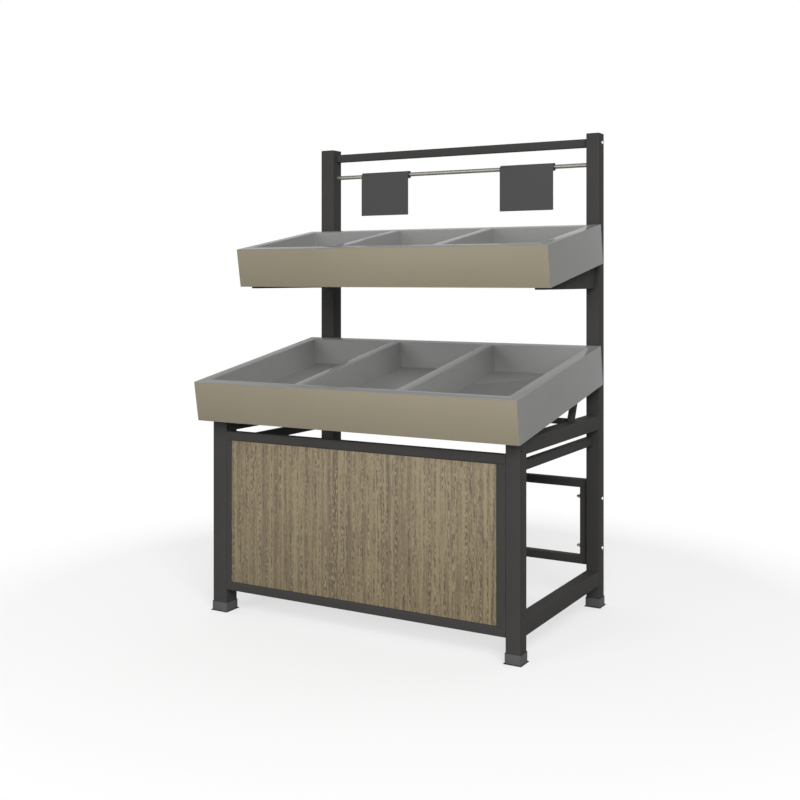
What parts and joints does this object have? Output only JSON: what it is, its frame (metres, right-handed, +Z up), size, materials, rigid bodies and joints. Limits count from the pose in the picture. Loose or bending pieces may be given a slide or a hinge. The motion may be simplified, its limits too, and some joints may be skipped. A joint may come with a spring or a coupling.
{
  "type": "produce display rack",
  "caption": "Free-standing steel-tube produce rack with sloping divided trays, a wood front panel, and price plates that swing and slide on a rod across the rear posts.",
  "frame": {"origin": "on the floor, under the middle of the bounding box, trays included", "axes": "+X to the right of someone facing the rack, +Y from the front panel to the rear posts, +Z up"},
  "size_m": [1.246, 0.8416, 1.7201],
  "materials": {
    "frame_paint": "dark grey powder coat, satin",
    "tray_paint": "light grey coat, soft gloss",
    "fascia_paint": "warm khaki coat, matt",
    "tray_base_paint": "grey coat, matt",
    "panel_wood": "greige oak board, upright grain, matt",
    "rod_chrome": "polished",
    "zinc_plate": "bright zinc",
    "boot_plastic": "grey, matt",
    "black_plastic": "near black, matt",
    "plate_paint": "dark grey coat, satin"
  },
  "bodies": {
    "frame": {"left_front_leg": "frame_paint", "left_rear_post": "frame_paint", "left_upper_rail": "frame_paint", "left_lower_rail": "frame_paint", "left_inner_rail": "frame_paint", "left_front_boot": "boot_plastic", "left_rear_boot": "boot_plastic", "left_post_cap": "black_plastic", "left_tray_strut": "frame_paint", "left_tray_bracket": "frame_paint", "left_lower_frame_bolt": "zinc_plate", "left_upper_frame_bolt": "zinc_plate", "left_lower_cap_nut": "zinc_plate", "left_upper_cap_nut": "zinc_plate", "left_top_rail_bolt": "zinc_plate", "left_rod_socket": "black_plastic", "right_front_leg": "frame_paint", "right_rear_post": "frame_paint", "right_upper_rail": "frame_paint", "right_lower_rail": "frame_paint", "right_inner_rail": "frame_paint", "right_front_boot": "boot_plastic", "right_rear_boot": "boot_plastic", "right_post_cap": "black_plastic", "right_tray_strut": "frame_paint", "right_tray_bracket": "frame_paint", "right_lower_frame_bolt": "zinc_plate", "right_upper_frame_bolt": "zinc_plate", "right_lower_cap_nut": "zinc_plate", "right_upper_cap_nut": "zinc_plate", "right_top_rail_bolt": "zinc_plate", "right_rod_socket": "black_plastic", "panel_bottom_rail": "frame_paint", "panel_top_rail": "frame_paint", "panel_left_stile": "frame_paint", "panel_right_stile": "frame_paint", "wood_panel": "panel_wood", "rear_frame_bottom_rail": "frame_paint", "rear_frame_top_rail": "frame_paint", "rear_frame_left_stile": "frame_paint", "rear_frame_right_stile": "frame_paint", "top_rail": "frame_paint", "tray_cross_beam": "frame_paint", "price_rod": "rod_chrome"},
    "lower_tray": {"lower_tray_shell": "tray_paint", "lower_tray_fascia": "fascia_paint", "lower_tray_base": "tray_base_paint", "lower_tray_divider_1": "tray_paint", "lower_tray_divider_2": "tray_paint"},
    "upper_tray": {"upper_tray_shell": "tray_paint", "upper_tray_fascia": "fascia_paint", "upper_tray_base": "tray_base_paint", "upper_tray_divider_1": "tray_paint", "upper_tray_divider_2": "tray_paint"},
    "left_bush": {"left_plate_bush": "black_plastic"},
    "left_plate": {"left_price_plate": "plate_paint"},
    "right_bush": {"right_plate_bush": "black_plastic"},
    "right_plate": {"right_price_plate": "plate_paint"}
  },
  "joints": [
    {"name": "lower_tray_lift_out", "type": "slide", "parent": "frame", "child": "lower_tray", "axis": [0, -1, 0], "range_m": [0, 0.8]},
    {"name": "upper_tray_lift_out", "type": "slide", "parent": "frame", "child": "upper_tray", "axis": [0, -1, 0], "range_m": [0, 0.8]},
    {"name": "left_plate_slide", "type": "slide", "parent": "frame", "child": "left_bush", "axis": [1, 0, 0], "range_m": [-0.11, 0.195]},
    {"name": "left_plate_swing", "type": "hinge", "parent": "left_bush", "child": "left_plate", "pos_m": [-0.3085, 0.39064, 1.607], "axis": [1, 0, 0], "range_deg": [-90, 90]},
    {"name": "right_plate_slide", "type": "slide", "parent": "frame", "child": "right_bush", "axis": [1, 0, 0], "range_m": [-0.195, 0.12]},
    {"name": "right_plate_swing", "type": "hinge", "parent": "right_bush", "child": "right_plate", "pos_m": [0.3085, 0.39064, 1.607], "axis": [1, 0, 0], "range_deg": [-90, 90]}
  ]
}
